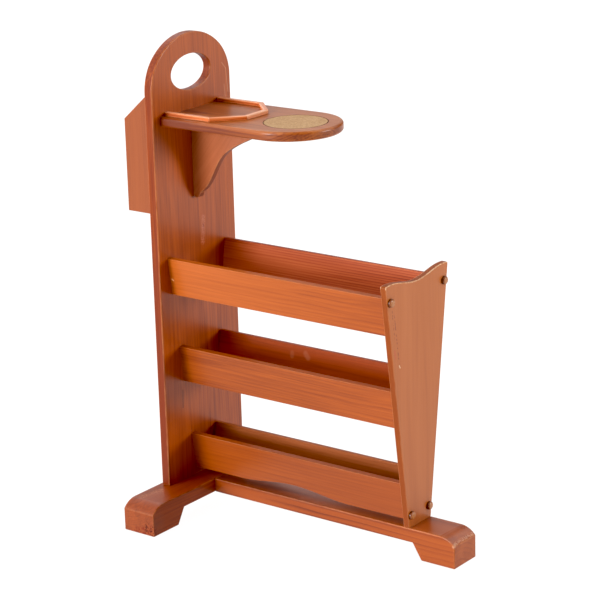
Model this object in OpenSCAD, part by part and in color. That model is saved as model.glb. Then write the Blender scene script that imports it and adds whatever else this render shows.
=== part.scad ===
// Magazine rack with a drinks shelf: an arched tall panel and a short tapered
// front panel stand on a T-shaped base, and three pairs of tilted slats join
// them into one V-shaped bin. Millimetres, +X towards the front panel, +Z up.
// The origin is on the floor, under the middle of the whole rack.

/* [Overall] */
// Height from the floor to the top of the arch
rack_h = 760; // [720:5:820]
// Length of the bin between the tall panel and the front panel
bin_l = 404.5; // [340:0.5:450]

/* [Tall panel] */
// Width of the tall panel
tall_w = 189.5; // [182:0.5:200]
// Radius of the flatter middle of the panel's arched top
crown_r = 106; // [104:1:120]
// Radius of the arched top's shoulders, where it turns down into the sides
shoulder_r = 73; // [60:1:85]
// Thickness of the tall panel
tall_t = 15; // [13:0.5:20]
// Width of the oval hand hole
grip_w = 93.5; // [80:0.5:110]
// Height of the oval hand hole
grip_h = 55; // [36:1:60]
// Drop from the top of the arch to the middle of the hand hole
grip_drop = 61; // [54:1:66]

/* [Base] */
// Height of the feet, up to the flat top of the base
base_h = 48; // [44:1:60]
// Height of the cut-away under both bars
base_lift = 25.5; // [16:0.5:28]
// Length of the crossbar
cross_l = 363; // [320:1:420]
// Width of the crossbar
cross_w = 60; // [50:1:75]
// How far the crossbar stands out behind the tall panel
cross_back = 6; // [0:0.5:12]
// Width of the long bar
bar_w = 58.5; // [50:0.5:70]
// How far the long bar stands out in front of the front panel
toe_reach = 80.5; // [78:0.5:110]
// Length of each foot along the floor
foot_l = 60; // [45:1:70]
// Run of the slanted inner end of each foot
foot_slant = 15.5; // [8:0.5:20]
// Radius of the rounded-over end of each bar
end_r = 34; // [30:1:40]
// Length of the rounded-over stretch at the end of each bar
end_run = 26; // [15:1:27]

/* [Front panel] */
// Thickness of the front panel
front_t = 10; // [9:0.5:15]
// Height of the front panel's shoulders above the base
front_h = 390.5; // [375:0.5:420]
// Width of the front panel across its top
front_w = 162; // [150:1:172]
// Depth of the dip in the front panel's top edge
dip_h = 9.5; // [4:0.5:14]
// Distance between the crests on both sides of the dip
dip_w = 138; // [110:1:140]
// Radius of the front panel's top corners
corner_r = 3; // [1:0.5:5]

/* [Slats] */
// Width of a slat, measured up its slope
slat_h = 60; // [50:1:70]
// Thickness of a slat
slat_t = 9.5; // [9:0.5:12]
// Inset of the slats from the front panel's tapered edge
slat_inset = 3.5; // [1:0.5:5]
// Height of the bottom slats' lower edge above the base
bottom_lift = 12; // [8:0.5:25]
// Height of the middle slats' lower edge above the base
middle_lift = 162.5; // [140:0.5:185]
// Height of the top slats' lower edge above the base
top_lift = 310.5; // [280:0.5:314]
// Distance from the tall panel to the middle of the arch in the bottom slats
arch_x = 197; // [170:1:210]
// Span of the shallow arch in the bottom slats' lower edge
arch_w = 210; // [140:1:240]
// Rise of the shallow arch in the bottom slats' lower edge
arch_h = 10; // [4:0.5:14]

/* [Shelf] */
// Height of the shelf's upper face above the floor
shelf_top = 641.5; // [625:0.5:646]
// Width of the shelf, which is also the diameter of its round front end
shelf_w = 156; // [150:1:164]
// Reach of the shelf from the tall panel to its round front end
shelf_l = 269; // [262:1:300]
// Thickness of the shelf
shelf_t = 15; // [13:0.5:18]
// Radius of the shelf's rounded long and front edges
shelf_r = 4.5; // [2:0.5:6]

/* [Coaster] */
// Diameter of the round cork inlay
cork_d = 97; // [85:1:105]
// Thickness of the cork inlay
cork_t = 4; // [2:0.5:6]
// Distance from the tall panel to the middle of the cork inlay
cork_x = 199; // [188:1:208]

/* [Tray rim] */
// Width of the rim strips
rim_t = 8; // [6:0.5:10]
// Height of the rim strips above the shelf
rim_h = 6; // [4:0.5:10]
// Width of the half-octagon tray over its rim
rim_span = 134; // [124:1:140]
// Reach of the half-octagon tray from the tall panel
rim_reach = 128; // [116:1:132]
// Size of the half-octagon's cut corners along each side
rim_cut = 41; // [32:1:48]

/* [Bracket] */
// Thickness of the ogee bracket under the shelf
bracket_t = 12; // [10:0.5:18]
// Length of the bracket along the shelf
bracket_l = 132; // [115:1:150]
// Drop of the bracket down the tall panel
bracket_drop = 125.5; // [110:0.5:140]

/* [Rear pocket] */
// Width of the pocket over its sides
pocket_w = 177; // [160:1:181]
// Depth of the pocket behind the tall panel
pocket_d = 48; // [40:1:60]
// Height of the pocket's lower edge above the floor
pocket_z = 490; // [470:0.5:500]
// Height of the pocket's outer board
pocket_h = 145; // [120:1:165]
// Rise of the sides' slanted top from the outer board to the tall panel
pocket_rise = 42; // [20:1:60]
// Thickness of the pocket's sides and outer board
pocket_t = 10; // [9:0.5:12]
// Thickness of the pocket's floor
floor_t = 8; // [6:0.5:10]
// Height of the floor above the sides' lower edge
floor_up = 6; // [4:0.5:12]
// Depth of the grooves that hold the floor
groove_d = 3; // [2:0.5:4]

/* [Buttons and screws] */
// Diameter of the round wooden buttons
button_d = 13; // [11:0.5:15]
// How far a button stands out from its panel
button_h = 5; // [3:0.5:8]
// Diameter of a button's stem
stem_d = 8; // [7.5:0.25:9]
// Distance from the screws to the near edge of their slat
screw_edge = 7; // [6:0.5:12]
// Diameter of the screws' shanks
screw_d = 4; // [3:0.25:4.5]
// Diameter of the screws' heads
head_d = 7.5; // [6.5:0.25:7.5]
// Thickness of the screws' heads
head_t = 2.5; // [1.5:0.25:3]
// Depth of the counterbores, from the face to the seat of the head
sink = 5; // [4:0.25:6]
// Grip of the screws in the second piece of wood
screw_grip = 26; // [16:1:28]
// Spacing of the two screws under the tall panel
tall_screw_gap = 120; // [80:1:150]
// Spacing of the two screws under the front panel
front_screw_gap = 20; // [14:1:24]
// Spacing of the three screws into the shelf
shelf_screw_gap = 50; // [35:1:62]
// Drop from the shelf's underside to the upper screw in the bracket
bracket_screw_drop = 20; // [15:1:30]
// Spacing of the two screws into the bracket
bracket_screw_gap = 58; // [45:1:60]

/* [Dowels] */
// Diameter of the dowels in the middle slats and the pocket
dowel_d = 6; // [5:0.25:6.5]
// Depth of the slat dowels in the slats' ends
dowel_grip = 18; // [12:1:25]
// Depth of the slat and pocket dowels in the panels
dowel_set = 7; // [5:0.5:8]
// Depth of the pocket dowels in the pocket's sides
pocket_grip = 14; // [10:1:20]
// Diameter of the dowels between the long bar and the crossbar
bar_dowel_d = 10; // [8:0.5:12]
// Length of each dowel between the long bar and the crossbar
bar_dowel_l = 50; // [40:1:60]
// Spacing of the two dowels between the long bar and the crossbar
bar_dowel_gap = 30; // [24:1:34]

/* [Fits] */
// Clearance round each screw and dowel, on the radius
peg_gap = 0.1; // [0.05:0.05:0.3]
// Clearance at the blind end of a dowel hole or screw hole
end_gap = 0.5; // [0.2:0.1:1.5]
// Gap round the cork inlay
cork_gap = 0.8; // [0.3:0.1:1.5]
// Clearance of the pocket floor in its grooves
groove_gap = 0.2; // [0.1:0.05:0.4]

/* [Hidden] */
$fn = 64;
over = 1;                                   // how far a cutter runs past a face
near = -1;
far = 1;

cross_x = -tall_t - cross_back;             // rear face of the crossbar
bar_x = cross_x + cross_w;                  // where the long bar meets the crossbar
front_x = bin_l + front_t;                  // outer face of the front panel
toe_x = front_x + toe_reach;                // front end of the long bar
pocket_x = -tall_t - pocket_d;              // outer face of the pocket
mid_x = (toe_x + min(pocket_x, cross_x)) / 2;
corner_y = front_w / 2 - corner_r;          // middle of the front panel's top corners
corner_z = wave(corner_y) - corner_r;
tilt = atan((front_w - bar_w) / 2 / (corner_z - base_h));
shelf_z = shelf_top - shelf_t;
grip_z = rack_h - grip_drop;
crown_z = rack_h - crown_r;                 // middle of the crown's arc
shoulder_y = tall_w / 2 - shoulder_r;       // middle of a shoulder's arc
shoulder_z = crown_z + sqrt(pow(crown_r - shoulder_r, 2) - pow(shoulder_y, 2));
rim_y = rim_span / 2;
rim_in = rim_t * tan(22.5);                 // how far a mitre runs back along a strip
screw_seat = base_lift + sink;              // seat of the screw heads under the base
pocket_top = pocket_z + pocket_h;
top_screw = slat_h - screw_edge;            // up the slope, from a slat's lower edge
bottom_screw = screw_edge;
slat_middle = slat_h / 2;
back_screw_l = tall_t - sink + screw_grip;  // screws through the tall panel
front_screw_l = front_t - sink + screw_grip;
foot_screw_l = base_h - screw_seat + screw_grip;

// Places that are drilled in more than one piece
tall_screw_ys = [-tall_screw_gap / 2, tall_screw_gap / 2];
front_screw_ys = [-front_screw_gap / 2, front_screw_gap / 2];
shelf_screw_ys = [-shelf_screw_gap, 0, shelf_screw_gap];
bracket_screw_zs = [shelf_z - bracket_screw_drop,
    shelf_z - bracket_screw_drop - bracket_screw_gap];
bar_dowel_ys = [-bar_dowel_gap / 2, bar_dowel_gap / 2];
pocket_dowel_y = (pocket_w - pocket_t) / 2;
pocket_dowel_zs = [pocket_z + pocket_h / 4, pocket_z + pocket_h * 3 / 4];
bar_dowel_z = (base_lift + base_h) / 2;

// ---- helpers ----

// Everything is drawn from the tall panel's front face and moved as one
module placed() { translate([-mid_x, 0, 0]) children(); }

// A plate with its outline in Y and Z, from x to x + t
module plate_x(x, t) { translate([x, 0, 0]) rotate([90, 0, 90]) linear_extrude(t) children(); }

// A plate with its outline in X and Z, centred on the plane Y = 0
module plate_y(t) { rotate([90, 0, 0]) linear_extrude(t, center = true) children(); }

// A round rod or hole along X or along Z
module rod_x(x, y, z, l, d) { translate([x, y, z]) rotate([0, 90, 0]) cylinder(h = l, d = d); }
module rod_z(x, y, z, l, d) { translate([x, y, z]) cylinder(h = l, d = d); }

// A screw with its seat at the origin and its shank along +Z
module screw(l) {
    slot_w = head_t / 3;
    difference() {
        translate([0, 0, -head_t]) cylinder(h = head_t, d = head_d);
        translate([-head_d / 2 - over, -slot_w / 2, -head_t - over])
            cube([head_d + 2 * over, slot_w, over + head_t / 2]);
    }
    cylinder(h = l - screw_d, d = screw_d);
    translate([0, 0, l - screw_d]) cylinder(h = screw_d, d1 = screw_d, d2 = screw_d / 4);
}

// The hole for such a screw: a counterbore up to the seat and a pilot hole
module screw_hole(l, counterbore) {
    if (counterbore > 0)
        translate([0, 0, -counterbore]) cylinder(h = counterbore, d = stem_d + 2 * peg_gap);
    translate([0, 0, -over]) cylinder(h = l + over + end_gap, d = screw_d + 2 * peg_gap);
}

// Moves its children from the frame of a slat to the slat's place: X along the
// slat, Y from its outer face inwards, Z up its slope from the lower edge
module on_slat(side, lift) {
    mirror([0, side == far ? 1 : 0, 0])
        translate([0, -bar_w / 2 - lift * tan(tilt) + slat_inset / cos(tilt), base_h + lift])
            rotate([tilt, 0, 0]) children();
}

// Both screwed pairs of slats, with the height of their screws up the slope
module each_screw_place() {
    for (side = [near, far], row = [[top_lift, top_screw], [bottom_lift, bottom_screw]])
        on_slat(side, row[0]) translate([0, slat_t / 2, row[1]]) children();
}

// The ends of the middle slats' dowels
module each_dowel_place() {
    for (side = [near, far])
        on_slat(side, middle_lift) translate([0, slat_t / 2, slat_middle]) children();
}

// Screws into the slats through the tall panel, and through the front panel
module at_back_seat() { translate([-tall_t + sink, 0, 0]) rotate([0, 90, 0]) children(); }
module at_front_seat() { translate([front_x - sink, 0, 0]) rotate([0, -90, 0]) children(); }

// One smooth bump, 1 in its middle and 0 at both ends, over shares from -1/2 to 1/2
function bump(t) = (1 + cos(360 * t)) / 2;

// A cubic curve through four control points, without its last point
function curve(p, steps = 10) = [for (i = [0 : steps - 1]) let (t = i / steps, u = 1 - t)
    u * u * u * p[0] + 3 * u * u * t * p[1] + 3 * u * t * t * p[2] + t * t * t * p[3]];

// ---- uprights ----

// The oval of the hand hole
function oval(w, h, n = 48) = [for (i = [0 : n - 1]) let (a = 360 * i / n)
    [w / 2 * cos(a), h / 2 * sin(a)]];

// The tall panel's outline: straight sides, then two shoulder arcs that run
// smoothly into the crown's arc where the lines through both middles meet them
module arched_outline() {
    reach = 2 * crown_r / (crown_r - shoulder_r);
    translate([-tall_w / 2, base_h]) square([tall_w, shoulder_z - base_h]);
    for (side = [near, far])
        translate([side * shoulder_y, shoulder_z]) circle(r = shoulder_r, $fn = 128);
    translate([0, crown_z]) intersection() {
        circle(r = crown_r, $fn = 180);
        polygon([[0, 0], reach * [shoulder_y, shoulder_z - crown_z],
            reach * [-shoulder_y, shoulder_z - crown_z]]);
    }
}

module tall_panel() {
    color("#a85a36") placed() difference() {
        plate_x(-tall_t, tall_t) difference() {
            arched_outline();
            translate([0, grip_z]) polygon(oval(grip_w, grip_h));
        }
        each_screw_place() at_back_seat() screw_hole(back_screw_l, sink + over);
        each_dowel_place() rod_x(-dowel_set - end_gap, 0, 0, dowel_set + end_gap + over,
            dowel_d + 2 * peg_gap);
        for (y = tall_screw_ys)
            rod_z(-tall_t / 2, y, base_h - over, screw_grip + over + end_gap, screw_d + 2 * peg_gap);
        for (y = shelf_screw_ys) translate([0, y, shelf_z + shelf_t / 2])
            at_back_seat() screw_hole(back_screw_l, sink + over);
        for (z = bracket_screw_zs) translate([0, 0, z])
            at_back_seat() screw_hole(back_screw_l, sink + over);
        for (y = [-pocket_dowel_y, pocket_dowel_y], z = pocket_dowel_zs)
            rod_x(-tall_t - over, y, z, over + dowel_set + end_gap, dowel_d + 2 * peg_gap);
    }
}

// Height of the front panel's top edge: a shallow wave with its dip in the middle
function wave(y) = base_h + front_h - dip_h * bump(y / dip_w);

// The top edge between the middles of the two top corners
function top_edge(steps = 20) =
    [for (i = [-steps : steps]) let (y = corner_y * i / steps) [y, wave(y)]];

// A top corner, from its inner end outwards and down, and a list read backwards and mirrored
function top_corner() =
    [for (a = [75 : -15 : 0]) [corner_y + corner_r * cos(a), corner_z + corner_r * sin(a)]];
function mirrored(points) =
    [for (i = [len(points) - 1 : -1 : 0]) [-points[i][0], points[i][1]]];

module front_panel() {
    side = concat(top_corner(), [[bar_w / 2, base_h]]);
    color("#c07650") placed() difference() {
        plate_x(bin_l, front_t) polygon(concat(mirrored(side), top_edge(), side));
        each_screw_place() at_front_seat() screw_hole(front_screw_l, sink + over);
        each_dowel_place() rod_x(bin_l - over, 0, 0, over + dowel_set + end_gap,
            dowel_d + 2 * peg_gap);
        for (y = front_screw_ys) rod_z(bin_l + front_t / 2, y, base_h - over,
            screw_grip + over + end_gap, screw_d + 2 * peg_gap);
    }
}

// ---- slats ----

// The shallow arch in a bottom slat's lower edge
function arch(steps = 24) = [for (i = [0 : steps]) let (t = i / steps - 1 / 2)
    [arch_x + arch_w * t, arch_h * bump(t)]];

// A slat at its place, held by a screw or by a dowel at each end
module slat(side, lift, screwed = true, arched = false) {
    color("#d2703c") placed() difference() {
        on_slat(side, lift) translate([0, slat_t, 0]) rotate([90, 0, 0]) linear_extrude(slat_t)
            polygon(concat([[0, 0]], arched ? arch() : [],
                [[bin_l, 0], [bin_l, slat_h], [0, slat_h]]));
        if (!screwed)
            each_dowel_place() {
                rod_x(-over, 0, 0, over + dowel_grip + end_gap, dowel_d + 2 * peg_gap);
                rod_x(bin_l - dowel_grip - end_gap, 0, 0, dowel_grip + end_gap + over,
                    dowel_d + 2 * peg_gap);
            }
        else
            each_screw_place() {
                at_back_seat() screw_hole(back_screw_l, 0);
                at_front_seat() screw_hole(front_screw_l, 0);
            }
    }
}

module slat_top_near() { slat(near, top_lift); }
module slat_top_far() { slat(far, top_lift); }
module slat_middle_near() { slat(near, middle_lift, screwed = false); }
module slat_middle_far() { slat(far, middle_lift, screwed = false); }
module slat_bottom_near() { slat(near, bottom_lift, arched = true); }
module slat_bottom_far() { slat(far, bottom_lift, arched = true); }

// ---- base ----

// Side view of a foot whose outer end is at x, up to the height of the cut-away
function foot(x) = [[x, base_h], [x, 0], [x - foot_l, 0], [x - foot_l - foot_slant, base_lift]];

// What the rounding takes off the top corner of a bar that ends at x
module end_cut(x) {
    translate([x - end_run, base_h - end_r]) difference() {
        square([end_run + over, end_r + over]);
        circle(r = end_r, $fn = 128);
    }
}

module crossbar() {
    color("#a04c28") placed() difference() {
        plate_x(cross_x, cross_w) difference() {
            polygon(concat(foot(cross_l / 2), mirrored(foot(cross_l / 2))));
            for (side = [0, 1]) mirror([side, 0]) end_cut(cross_l / 2);
        }
        for (y = tall_screw_ys) translate([-tall_t / 2, y, 0]) {
            rod_z(0, 0, -over, screw_seat + over, stem_d + 2 * peg_gap);
            rod_z(0, 0, 0, base_h + over, screw_d + 2 * peg_gap);
        }
        for (y = bar_dowel_ys) rod_x(bar_x - bar_dowel_l / 2 - end_gap, y, bar_dowel_z,
            bar_dowel_l / 2 + end_gap + over, bar_dowel_d + 2 * peg_gap);
    }
}

module long_bar() {
    color("#c8643a") placed() difference() {
        plate_y(bar_w) difference() {
            polygon(concat(foot(toe_x), [[bar_x, base_lift], [bar_x, base_h]]));
            end_cut(toe_x);
        }
        for (y = front_screw_ys) translate([bin_l + front_t / 2, y, 0]) {
            rod_z(0, 0, -over, screw_seat + over, stem_d + 2 * peg_gap);
            rod_z(0, 0, 0, base_h + over, screw_d + 2 * peg_gap);
        }
        for (y = bar_dowel_ys) rod_x(bar_x - over, y, bar_dowel_z,
            over + bar_dowel_l / 2 + end_gap, bar_dowel_d + 2 * peg_gap);
    }
}

// ---- shelf ----

// Half of the shelf's section, from its middle line out to its rounded edge
module shelf_section() {
    translate([0, shelf_z]) {
        square([shelf_w / 2 - shelf_r, shelf_t]);
        translate([0, shelf_r]) square([shelf_w / 2, shelf_t - 2 * shelf_r]);
        for (z = [shelf_r, shelf_t - shelf_r])
            translate([shelf_w / 2 - shelf_r, z]) circle(r = shelf_r);
    }
}

module shelf() {
    color("#b4693f") placed() difference() {
        union() {
            plate_x(0, shelf_l - shelf_w / 2)
                for (side = [0, 1]) mirror([side, 0]) shelf_section();
            translate([shelf_l - shelf_w / 2, 0, 0]) rotate([0, 0, -90])
                rotate_extrude(angle = 180, $fn = 128) shelf_section();
        }
        rod_z(cork_x, 0, shelf_top - cork_t, cork_t + over, cork_d + 2 * cork_gap);
        for (y = shelf_screw_ys) translate([0, y, shelf_z + shelf_t / 2])
            at_back_seat() screw_hole(back_screw_l, 0);
    }
}

module cork_inlay() {
    color("#c9a06c") placed() rod_z(cork_x, 0, shelf_top - cork_t, cork_t, cork_d, $fn = 128);
}

// Corners of the half-octagon, outside and inside the rim strips
rim_outside = [[0, -rim_y], [rim_reach - rim_cut, -rim_y], [rim_reach, rim_cut - rim_y],
    [rim_reach, rim_y - rim_cut], [rim_reach - rim_cut, rim_y], [0, rim_y]];
rim_inside = [[0, rim_t - rim_y], [rim_reach - rim_cut - rim_in, rim_t - rim_y],
    [rim_reach - rim_t, rim_cut - rim_y + rim_in], [rim_reach - rim_t, rim_y - rim_cut - rim_in],
    [rim_reach - rim_cut - rim_in, rim_y - rim_t], [0, rim_y - rim_t]];

// Strip number i of the rim, counted from the near side
module rim_strip(i) {
    color("#d9732f") placed() translate([0, 0, shelf_top]) linear_extrude(rim_h)
        polygon([rim_outside[i], rim_outside[i + 1], rim_inside[i + 1], rim_inside[i]]);
}

module rim_near() { rim_strip(0); }
module rim_near_corner() { rim_strip(1); }
module rim_front() { rim_strip(2); }
module rim_far_corner() { rim_strip(3); }
module rim_far() { rim_strip(4); }

// The ogee as shares of the bracket's length and drop: a nose under the shelf,
// a straight slope, a hollow, a belly and a small round tip against the panel
ogee = [
    [[1, 0], [1, 0.1], [0.94, 0.135], [0.87, 0.168]],
    [[0.87, 0.168], [0.76, 0.222], [0.65, 0.27], [0.54, 0.35]],
    [[0.54, 0.35], [0.38, 0.467], [0.34, 0.63], [0.25, 0.77]],
    [[0.25, 0.77], [0.19, 0.865], [0.14, 0.905], [0.1, 0.925]],
    [[0.1, 0.925], [0.1, 0.98], [0.06, 1], [0.035, 1]],
    [[0.035, 1], [0.02, 1], [0.005, 0.985], [0, 0.965]]
];

module bracket() {
    outline = [for (part = ogee, p = curve(part)) [p[0] * bracket_l, shelf_z - p[1] * bracket_drop]];
    last = [[0, shelf_z - 0.965 * bracket_drop], [0, shelf_z]];
    color("#b2603a") placed() difference() {
        plate_y(bracket_t) polygon(concat(outline, last));
        for (z = bracket_screw_zs) translate([0, 0, z])
            at_back_seat() screw_hole(back_screw_l, 0);
    }
}

// ---- rear pocket ----

module pocket_side(side) {
    inner_y = pocket_w / 2 - pocket_t;
    floor_z = pocket_z + floor_up;
    groove_x = pocket_x + pocket_t - groove_d - groove_gap;
    color("#c46e44") placed() mirror([0, side == near ? 1 : 0, 0]) difference() {
        translate([0, pocket_w / 2 - pocket_t / 2, 0]) plate_y(pocket_t)
            polygon([[-tall_t, pocket_z], [pocket_x, pocket_z], [pocket_x, pocket_top],
                [-tall_t, pocket_top + pocket_rise]]);
        translate([groove_x, inner_y - over, floor_z - groove_gap])
            cube([-tall_t + over - groove_x, over + groove_d + groove_gap, floor_t + 2 * groove_gap]);
        for (z = pocket_dowel_zs) rod_x(-tall_t - pocket_grip - end_gap, pocket_dowel_y, z,
            pocket_grip + end_gap + over, dowel_d + 2 * peg_gap);
    }
}

module pocket_side_near() { pocket_side(near); }
module pocket_side_far() { pocket_side(far); }

module pocket_board() {
    w = pocket_w - 2 * pocket_t;
    color("#c46e44") placed() difference() {
        translate([pocket_x, -w / 2, pocket_z]) cube([pocket_t, w, pocket_h]);
        translate([pocket_x + pocket_t - groove_d - groove_gap, -w / 2 - over,
            pocket_z + floor_up - groove_gap])
            cube([groove_d + groove_gap + over, w + 2 * over, floor_t + 2 * groove_gap]);
    }
}

module pocket_floor() {
    w = pocket_w - 2 * pocket_t + 2 * groove_d;
    x = pocket_x + pocket_t - groove_d;
    color("#b2603a") placed()
        translate([x, -w / 2, pocket_z + floor_up]) cube([-tall_t - x, w, floor_t]);
}

// ---- buttons, screws and dowels ----

// A button with its rim at the origin and its head along +Z
module button() {
    dome_h = button_h / 4;
    dome_r = (pow(button_d / 2, 2) + pow(dome_h, 2)) / (2 * dome_h);
    stem_l = sink - head_t;
    translate([0, 0, -stem_l]) cylinder(h = stem_l, d = stem_d);
    rotate_extrude() intersection() {
        square([button_d / 2, button_h]);
        translate([0, button_h - dome_r]) circle(r = dome_r, $fn = 256);
    }
}

module front_buttons() {
    color("#b4713f") placed() each_screw_place()
        translate([front_x, 0, 0]) rotate([0, 90, 0]) button();
}

module back_buttons() {
    color("#b4713f") placed() each_screw_place()
        translate([-tall_t, 0, 0]) rotate([0, -90, 0]) button();
}

module front_slat_screws() {
    color("silver") placed() each_screw_place() at_front_seat() screw(front_screw_l);
}

module back_slat_screws() {
    color("silver") placed() each_screw_place() at_back_seat() screw(back_screw_l);
}

module middle_slat_dowels() {
    color("#d8b98a") placed() each_dowel_place() {
        rod_x(-dowel_set, 0, 0, dowel_set + dowel_grip, dowel_d);
        rod_x(bin_l - dowel_grip, 0, 0, dowel_grip + dowel_set, dowel_d);
    }
}

module tall_panel_screws() {
    color("silver") placed() for (y = tall_screw_ys)
        translate([-tall_t / 2, y, screw_seat]) screw(foot_screw_l);
}

module front_panel_screws() {
    color("silver") placed() for (y = front_screw_ys)
        translate([bin_l + front_t / 2, y, screw_seat]) screw(foot_screw_l);
}

module bar_dowels() {
    color("#d8b98a") placed() for (y = bar_dowel_ys)
        rod_x(bar_x - bar_dowel_l / 2, y, bar_dowel_z, bar_dowel_l, bar_dowel_d);
}

module shelf_screws() {
    color("silver") placed() for (y = shelf_screw_ys)
        translate([0, y, shelf_z + shelf_t / 2]) at_back_seat() screw(back_screw_l);
}

module bracket_screws() {
    color("silver") placed() for (z = bracket_screw_zs)
        translate([0, 0, z]) at_back_seat() screw(back_screw_l);
}

module pocket_dowels() {
    color("#d8b98a") placed() for (y = [-pocket_dowel_y, pocket_dowel_y], z = pocket_dowel_zs)
        rod_x(-tall_t - pocket_grip, y, z, pocket_grip + dowel_set, dowel_d);
}

tall_panel();
front_panel();
slat_top_near();
slat_top_far();
slat_middle_near();
slat_middle_far();
slat_bottom_near();
slat_bottom_far();
crossbar();
long_bar();
shelf();
cork_inlay();
rim_near();
rim_near_corner();
rim_front();
rim_far_corner();
rim_far();
bracket();
pocket_side_near();
pocket_side_far();
pocket_board();
pocket_floor();
front_buttons();
back_buttons();
front_slat_screws();
back_slat_screws();
middle_slat_dowels();
tall_panel_screws();
front_panel_screws();
bar_dowels();
shelf_screws();
bracket_screws();
pocket_dowels();
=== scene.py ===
import math

import bmesh
import bpy
from mathutils import Matrix, Vector


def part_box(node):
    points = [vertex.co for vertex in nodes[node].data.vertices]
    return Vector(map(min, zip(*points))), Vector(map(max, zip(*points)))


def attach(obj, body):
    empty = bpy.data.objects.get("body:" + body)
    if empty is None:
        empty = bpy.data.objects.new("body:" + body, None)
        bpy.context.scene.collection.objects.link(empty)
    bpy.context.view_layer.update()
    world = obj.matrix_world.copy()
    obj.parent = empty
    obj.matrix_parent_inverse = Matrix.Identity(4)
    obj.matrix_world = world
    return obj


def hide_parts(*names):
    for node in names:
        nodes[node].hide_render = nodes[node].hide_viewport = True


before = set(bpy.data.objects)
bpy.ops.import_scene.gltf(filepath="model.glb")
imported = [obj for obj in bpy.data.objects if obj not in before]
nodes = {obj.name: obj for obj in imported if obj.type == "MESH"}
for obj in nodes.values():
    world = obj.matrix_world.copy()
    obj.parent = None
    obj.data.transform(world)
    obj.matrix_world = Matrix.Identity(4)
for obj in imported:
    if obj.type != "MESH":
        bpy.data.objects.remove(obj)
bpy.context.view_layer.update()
mm = 0.001
print("frame loaded:", len(nodes), "nodes")


# small tools

# x runs from the tall panel to the front panel, the near side is towards -y, and z is up
axes = {"x": Vector((1, 0, 0)), "y": Vector((0, 1, 0)), "z": Vector((0, 0, 1))}
sharpFrom = math.radians(32)  # an edge that turns more than this shades as sharp
mostNoise = {"From Min": 0.3, "From Max": 0.7}  # nearly all of a noise lies in this range


def linear(hexColour):
    # sRGB hex to linear red, green and blue, fully opaque
    parts = [int(hexColour[i:i + 2], 16) / 255 for i in (1, 3, 5)]
    return [p / 12.92 if p <= 0.04045 else ((p + 0.055) / 1.055) ** 2.4 for p in parts] + [1]


def addNode(tree, kind, inputs=None, **settings):
    # inputs go by name, or by number among the sockets in use; a node given as a value links its first output
    node = tree.nodes.new(kind)
    for name, value in settings.items():
        setattr(node, name, value)
    sockets = [s for s in node.inputs if s.enabled]
    for name, value in (inputs or {}).items():
        socket = sockets[name] if isinstance(name, int) else next(s for s in sockets if s.name == name)
        if isinstance(value, bpy.types.Node):
            value = next(s for s in value.outputs if s.enabled)
        if isinstance(value, bpy.types.NodeSocket):
            tree.links.new(value, socket)
        else:
            socket.default_value = value
    return node


def newMaterial(name):
    # a material and its node tree, still empty
    material = bpy.data.materials.new(name)
    material.use_nodes = True
    material.node_tree.nodes.clear()
    return material, material.node_tree


def newTree(name, inputs):
    # an empty Geometry Nodes tree with named inputs; the second thing returned is their sockets
    tree = bpy.data.node_groups.new(name, "GeometryNodeTree")
    tree.interface.new_socket("Geometry", in_out="OUTPUT", socket_type="NodeSocketGeometry")
    for label, kind in inputs.items():
        tree.interface.new_socket(label, in_out="INPUT", socket_type="NodeSocket" + kind)
    return tree, tree.nodes.new("NodeGroupInput").outputs


def addObject(name, data):
    item = bpy.data.objects.new(name, data)
    bpy.context.scene.collection.objects.link(item)
    return item


def makePlain(piece):
    # live modifiers become plain mesh
    done = piece.evaluated_get(bpy.context.evaluated_depsgraph_get())
    mesh = bpy.data.meshes.new_from_object(done)
    piece.modifiers.clear()
    piece.data = mesh
    return piece


def settle(piece):
    # face-weighted normals, so that flat boards shade flat up to their rounded arrises
    piece.modifiers.new("flatFaces", "WEIGHTED_NORMAL").keep_sharp = True
    bpy.context.view_layer.update()
    return makePlain(piece)


def runTree(name, tree, values, start=None):
    # a Geometry Nodes tree with its inputs set, turned into a plain mesh
    piece = addObject(name, start or bpy.data.meshes.new(name))
    modifier = piece.modifiers.new("tree", "NODES")
    modifier.node_group = tree
    for item in tree.interface.items_tree:
        if item.in_out == "INPUT" and item.name in values:
            modifier[item.identifier] = values[item.name]
    makePlain(piece)
    piece.data.name = name
    piece.data.set_sharp_from_angle(angle=sharpFrom)
    return settle(piece)


def dress(piece, node):
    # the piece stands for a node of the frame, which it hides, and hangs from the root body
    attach(piece, "root")
    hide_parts(node)


# camera

# degrees and metres, with the azimuth counted from the near side to the front; lens and sensor in mm
lookout = {"azimuth": 37.31, "elevation": 16.77, "roll": -1.58, "distance": 3.38944,
           "target": (-0.01472, -0.00439, 0.36557), "lens": 133.519, "sensor": 36, "farthest": 50}


def makeCamera(s):
    azimuth, elevation, roll = (math.radians(s[k]) for k in ("azimuth", "elevation", "roll"))
    # back points from the target to the camera
    back = Vector((math.sin(azimuth) * math.cos(elevation), -math.cos(azimuth) * math.cos(elevation),
                   math.sin(elevation)))
    side = back.cross(Vector((0, 0, -1))).normalized()
    up = back.cross(side)
    right = side * math.cos(roll) + up * math.sin(roll)
    above = up * math.cos(roll) - side * math.sin(roll)
    data = bpy.data.cameras.new("camera")
    data.lens = s["lens"]
    data.sensor_width = s["sensor"]
    data.clip_end = s["farthest"]
    camera = addObject("camera", data)
    camera.matrix_world = (Matrix.Translation(Vector(s["target"]) + back * s["distance"])
                           @ Matrix((right, above, back)).transposed().to_4x4())
    bpy.context.scene.camera = camera


makeCamera(lookout)
print("camera set")
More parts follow.
